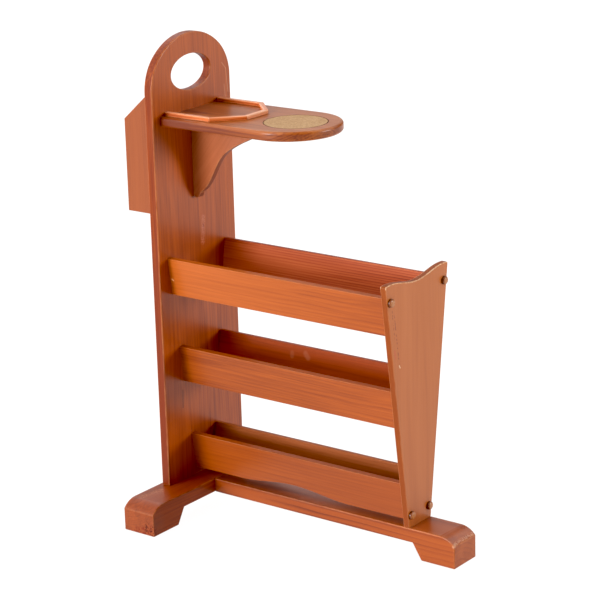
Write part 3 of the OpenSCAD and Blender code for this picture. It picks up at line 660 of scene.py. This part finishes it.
def buttonTree():
    # a low dome turned on the lathe: its outline is a quarter of a superellipse, its foot is flat
    tree, given = newTree("screwButtons", {
        "Geometry": "Geometry", "Diameter": "Float", "Height": "Float", "Fullness": "Float",
        "Facing": "Vector", "Finish": "Material"})
    sheet = addNode(tree, "GeometryNodeMeshGrid", {
        "Size X": math.tau, "Size Y": math.pi, "Vertices X": buttonLook["around"],
        "Vertices Y": buttonLook["up"]})
    spot = addNode(tree, "ShaderNodeSeparateXYZ", {0: addNode(tree, "GeometryNodeInputPosition")})
    power = addNode(tree, "ShaderNodeMath", {0: 2.0, 1: given["Fullness"]}, operation="DIVIDE")
    outline = []
    for kind in ("COSINE", "SINE"):
        share = addNode(tree, "ShaderNodeMath", {0: spot.outputs["Y"]}, operation=kind)
        share = addNode(tree, "ShaderNodeMath", {0: share, 1: 0.0}, operation="MAXIMUM")
        outline.append(addNode(tree, "ShaderNodeMath", {0: share, 1: power}, operation="POWER"))
    inward, upward = outline
    radius = addNode(tree, "ShaderNodeMath", {0: inward, 1: given["Diameter"]}, operation="MULTIPLY")
    radius = addNode(tree, "ShaderNodeMath", {0: radius, 1: 0.5}, operation="MULTIPLY")
    height = addNode(tree, "ShaderNodeMath", {0: upward, 1: given["Height"]}, operation="MULTIPLY")
    around = [addNode(tree, "ShaderNodeMath", {0: spot.outputs["X"]}, operation=kind)
              for kind in ("COSINE", "SINE")]
    around = [addNode(tree, "ShaderNodeMath", {0: radius, 1: turn}, operation="MULTIPLY")
              for turn in around]
    place = addNode(tree, "ShaderNodeCombineXYZ", {"X": height, "Y": around[0], "Z": around[1]})
    dome = addNode(tree, "GeometryNodeStoreNamedAttribute",
                   {"Geometry": sheet.outputs["Mesh"], "Name": "upward", "Value": upward})
    dome = addNode(tree, "GeometryNodeSetPosition", {"Geometry": dome, "Position": place})
    dome = addNode(tree, "GeometryNodeMergeByDistance",
                   {"Geometry": dome, "Distance": buttonLook["weld"] * mm})
    heads = addNode(tree, "GeometryNodeInstanceOnPoints",
                    {"Points": given["Geometry"], "Instance": dome, "Rotation": given["Facing"]})
    heads = addNode(tree, "GeometryNodeRealizeInstances", {"Geometry": heads})
    heads = addNode(tree, "GeometryNodeSetShadeSmooth", {"Geometry": heads})
    heads = addNode(tree, "GeometryNodeSetMaterial", {"Geometry": heads, "Material": given["Finish"]})
    addNode(tree, "NodeGroupOutput", {0: heads})
    return tree


def turnedButton(name, s):
    # small turned beech buttons, dipped in dark stain and varnished: brown and shiny, painted palest on the
    # crown as a painted highlight and darkest round the foot as painted shade on the sides turned from the
    # light
    material, tree = newMaterial(name)
    place = addNode(tree, "ShaderNodeTexCoord").outputs["Object"]
    fleck = addNode(tree, "ShaderNodeVectorMath", {0: place, 1: s["flecks"]}, operation="MULTIPLY")
    fleck = addNode(tree, "ShaderNodeTexNoise", {"Vector": fleck, "Scale": 1.0, "Detail": 2.0})
    upward = addNode(tree, "ShaderNodeAttribute", attribute_name="upward").outputs["Fac"]
    depth = addNode(tree, "ShaderNodeMath", {0: fleck, 1: s["fleckDepth"], 2: -s["fleckDepth"] / 2},
                    operation="MULTIPLY_ADD")
    depth = addNode(tree, "ShaderNodeMath", {0: upward, 1: depth}, operation="ADD")
    # painted highlight and shade: the colour runs by height from a dark foot to a pale crown
    stain = addNode(tree, "ShaderNodeValToRGB", {"Fac": depth})
    tones = stain.color_ramp.elements
    tones[0].color = linear(s["foot"])
    tones[1].color = linear(s["crown"])
    tones.new(s["sideAt"]).color = linear(s["side"])
    bump = addNode(tree, "ShaderNodeBump", {"Height": fleck, "Strength": 0.3, "Distance": 0.1 * mm})
    shader = addNode(tree, "ShaderNodeBsdfPrincipled", {
        "Base Color": stain, "Roughness": 0.45, "Normal": bump, "IOR": 1.5, "Specular IOR Level": 0.2,
        "Coat Weight": 0.5, "Coat Roughness": 0.25, "Coat IOR": 1.5})
    addNode(tree, "ShaderNodeOutputMaterial", {"Surface": shader})
    return material


def makeButtons():
    tree = buttonTree()
    finish = turnedButton("darkBeechButton", buttonLook)
    for name, s in buttons.items():
        points = [v.co for v in nodes[s["node"]].data.vertices]
        low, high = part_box(s["node"])
        middle = (low + high) / 2
        foot = (high if s["way"] > 0 else low).x - s["way"] * buttonLook["height"] * mm
        # one spot for each quarter of the board
        spots = []
        for side in (-1, 1):
            for level in (-1, 1):
                own = [p for p in points if (p.y - middle.y) * side > 0 and (p.z - middle.z) * level > 0]
                spots.append((foot, (min(p.y for p in own) + max(p.y for p in own)) / 2,
                              (min(p.z for p in own) + max(p.z for p in own)) / 2))
        start = bpy.data.meshes.new(name)
        start.from_pydata(spots, [], [])
        heads = runTree(name, tree, {
            "Diameter": buttonLook["diameter"] * mm, "Height": buttonLook["height"] * mm,
            "Fullness": buttonLook["fullness"], "Finish": finish,
            "Facing": Vector((0, 0, 0 if s["way"] > 0 else math.pi))}, start)
        dress(heads, s["node"])


makeButtons()
print("buttons made:", len(buttons), "sets of 4")


# cork, metal and dowels, on nodes that keep their own shape

# crumb, speck, blotch and rim are sizes in mm; crumbShare is the crumbs' say in the tone, and the blotches
# have the rest; bark shows where its noise is between barkFrom and barkTo or above
corkLook = {"pale": "#C9A680", "deep": "#9F784E", "bark": "#6B4526", "edge": "#4A2A14",
            "crumb": 1.8, "speck": 0.9, "blotch": 30, "rim": 1.0, "crumbShare": 0.55,
            "barkFrom": 0.62, "barkTo": 0.72}
# mottle is a size in mm
steelLook = {"bright": "#D2D1CB", "dull": "#8E8C86", "mottle": 2}
# flecks are waves in a metre along x, y and z: 3 mm long and 1 mm wide, as in real beech
beechLook = {"body": "#DDBF94", "fleck": "#A9794A", "flecks": (330, 1000, 1000), "fleckFrom": 0.35,
             "fleckTo": 0.7}


def corkSheet(name, s):
    # ground cork pressed into a sheet: pale tan crumbs 1 to 3 mm across with brown bark specks, quite
    # matt, and dark where glue and varnish have crept into its cut edge
    material, tree = newMaterial(name)
    place = addNode(tree, "ShaderNodeTexCoord").outputs["Object"]
    crumbs = addNode(tree, "ShaderNodeTexVoronoi", {"Vector": place, "Scale": 1 / (s["crumb"] * mm)})
    crumbTone = addNode(tree, "ShaderNodeSeparateColor", {0: crumbs.outputs["Color"]}).outputs["Red"]
    specks = addNode(tree, "ShaderNodeTexNoise", {"Vector": place, "Scale": 1 / (s["speck"] * mm),
                                                  "Detail": 2.0})
    blotch = addNode(tree, "ShaderNodeTexNoise", {"Vector": place, "Scale": 1 / (s["blotch"] * mm),
                                                  "Detail": 2.0})
    depth = addNode(tree, "ShaderNodeMath", {0: crumbTone, 1: s["crumbShare"]}, operation="MULTIPLY")
    depth = addNode(tree, "ShaderNodeMath", {0: blotch, 1: 1 - s["crumbShare"], 2: depth},
                    operation="MULTIPLY_ADD")
    body = addNode(tree, "ShaderNodeValToRGB", {"Fac": depth})
    tones = body.color_ramp.elements
    tones[0].color = linear(s["pale"])
    tones[1].color = linear(s["deep"])
    speckled = addNode(tree, "ShaderNodeMapRange", {"Value": specks, "From Min": s["barkFrom"],
                                                    "From Max": s["barkTo"]})
    colour = addNode(tree, "ShaderNodeMix", {"Factor": speckled, "A": body, "B": linear(s["bark"])},
                     data_type="RGBA")
    low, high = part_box("cork_inlay")
    middle, radius = (low + high) / 2, (high.x - low.x) / 2
    out = addNode(tree, "ShaderNodeVectorMath", {0: place, 1: tuple(middle)}, operation="DISTANCE")
    rim = addNode(tree, "ShaderNodeMapRange", {"Value": out, "From Min": radius - s["rim"] * mm,
                                               "From Max": radius})
    colour = addNode(tree, "ShaderNodeMix", {"Factor": rim, "A": colour, "B": linear(s["edge"])},
                     data_type="RGBA")
    bump = addNode(tree, "ShaderNodeBump", {"Height": crumbs.outputs["Distance"], "Strength": 0.5,
                                            "Distance": 0.4 * mm})
    shader = addNode(tree, "ShaderNodeBsdfPrincipled", {
        "Base Color": colour, "Roughness": 0.9, "Normal": bump, "IOR": 1.45, "Specular IOR Level": 0.3})
    addNode(tree, "ShaderNodeOutputMaterial", {"Surface": shader})
    return material


def zincSteel(name, s):
    # wood screws of steel, bright zinc plated: a grey metal with a faint mottle and dull patches
    material, tree = newMaterial(name)
    place = addNode(tree, "ShaderNodeTexCoord").outputs["Object"]
    mottle = addNode(tree, "ShaderNodeTexNoise", {"Vector": place, "Scale": 1 / (s["mottle"] * mm),
                                                  "Detail": 3.0})
    colour = addNode(tree, "ShaderNodeValToRGB", {"Fac": mottle})
    tones = colour.color_ramp.elements
    tones[0].color = linear(s["dull"])
    tones[1].color = linear(s["bright"])
    gloss = addNode(tree, "ShaderNodeMapRange", {"Value": mottle, **mostNoise,
                                                 "To Min": 0.45, "To Max": 0.28})
    bump = addNode(tree, "ShaderNodeBump", {"Height": mottle, "Strength": 0.2, "Distance": 0.05 * mm})
    shader = addNode(tree, "ShaderNodeBsdfPrincipled", {"Base Color": colour, "Roughness": gloss,
                                                        "Normal": bump, "Metallic": 1.0})
    addNode(tree, "ShaderNodeOutputMaterial", {"Surface": shader})
    return material


def beechDowel(name, s):
    # unfinished beech dowels: pale pink-tan with short brown flecks, matt
    material, tree = newMaterial(name)
    place = addNode(tree, "ShaderNodeTexCoord").outputs["Object"]
    flecks = addNode(tree, "ShaderNodeVectorMath", {0: place, 1: s["flecks"]}, operation="MULTIPLY")
    flecks = addNode(tree, "ShaderNodeTexNoise", {"Vector": flecks, "Scale": 1.0, "Detail": 2.0})
    colour = addNode(tree, "ShaderNodeValToRGB", {"Fac": flecks})
    tones = colour.color_ramp.elements
    tones[0].position = s["fleckFrom"]
    tones[0].color = linear(s["body"])
    tones[1].position = s["fleckTo"]
    tones[1].color = linear(s["fleck"])
    bump = addNode(tree, "ShaderNodeBump", {"Height": flecks, "Strength": 0.3, "Distance": 0.1 * mm})
    shader = addNode(tree, "ShaderNodeBsdfPrincipled", {"Base Color": colour, "Roughness": 0.7,
                                                        "Normal": bump, "IOR": 1.5})
    addNode(tree, "ShaderNodeOutputMaterial", {"Surface": shader})
    return material


cork = corkSheet("pressedCork", corkLook)
steel = zincSteel("zincSteel", steelLook)
beech = beechDowel("beechDowel", beechLook)
finishOf = {"cork_inlay": cork, "front_slat_screws": steel, "back_slat_screws": steel,
            "tall_panel_screws": steel, "front_panel_screws": steel, "shelf_screws": steel,
            "bracket_screws": steel, "middle_slat_dowels": beech, "bar_dowels": beech,
            "pocket_dowels": beech}
for node, finish in finishOf.items():
    nodes[node].data.materials.clear()
    nodes[node].data.materials.append(finish)
print("cork, steel and dowels dressed:", len(finishOf))


# studio

# the floor's size is in metres and its drop below the feet in mm
studio = {"floorSize": 30, "floorDrop": 0.3, "floorColour": "#505050", "floorGlow": 0.82, "walls": 0.06,
          "black": 0.012, "white": 0.85}
# big soft lights far away, in degrees: where each stands, from x to y and up, and how wide it looks
lamps = {
    "rightLow": {"azimuth": 30, "height": 9, "width": 14, "power": 1.45},
    "leftLow": {"azimuth": 254, "height": 8, "width": 22, "power": 2.5},
    "backLeft": {"azimuth": 165, "height": 30, "width": 60, "power": 1.23},
    "backLow": {"azimuth": 122, "height": 17, "width": 40, "power": 0.18},
    "backHigh": {"azimuth": 66, "height": 50, "width": 50, "power": 1.0},
    "frontHigh": {"azimuth": 250, "height": 42, "width": 65, "power": 1.85},
}


def makeFloor():
    # a pale floor that glows a little, as a lit sweep does, so that shadows on it stay faint
    half, level = studio["floorSize"] / 2, -studio["floorDrop"] * mm
    mesh = bpy.data.meshes.new("floor")
    mesh.from_pydata([(-half, -half, level), (half, -half, level), (half, half, level),
                      (-half, half, level)], [], [(0, 1, 2, 3)])
    paper = bpy.data.materials.new("litSweep")
    paper.use_nodes = True
    paint = paper.node_tree.nodes["Principled BSDF"].inputs
    paint["Base Color"].default_value = linear(studio["floorColour"])
    paint["Roughness"].default_value = 0.9
    paint["Emission Color"].default_value = (1, 1, 1, 1)
    paint["Emission Strength"].default_value = studio["floorGlow"]
    mesh.materials.append(paper)
    floor = addObject("floor", mesh)


def makeRoom():
    # a dim white room behind the lights
    world = bpy.data.worlds.new("studio")
    bpy.context.scene.world = world
    world.use_nodes = True
    room = world.node_tree.nodes["Background"].inputs
    room["Color"].default_value = (1, 1, 1, 1)
    room["Strength"].default_value = studio["walls"]


def makeLamps():
    for name, lamp in lamps.items():
        data = bpy.data.lights.new(name, "SUN")
        data.energy = lamp["power"]
        data.angle = math.radians(lamp["width"])
        turn, height = math.radians(lamp["azimuth"]), math.radians(lamp["height"])
        way = Vector((math.cos(turn) * math.cos(height), math.sin(turn) * math.cos(height),
                      math.sin(height)))
        addObject(name, data).rotation_euler = way.to_track_quat("Z", "Y").to_euler()


def setLevels():
    # plain colours, with the levels drawn in a little at both ends
    look = bpy.context.scene.view_settings
    look.view_transform = "Standard"
    look.use_curve_mapping = True
    look.curve_mapping.black_level = [studio["black"]] * 3
    look.curve_mapping.white_level = [studio["white"]] * 3
    look.curve_mapping.update()


makeFloor()
makeRoom()
makeLamps()
setLevels()
print("studio made")
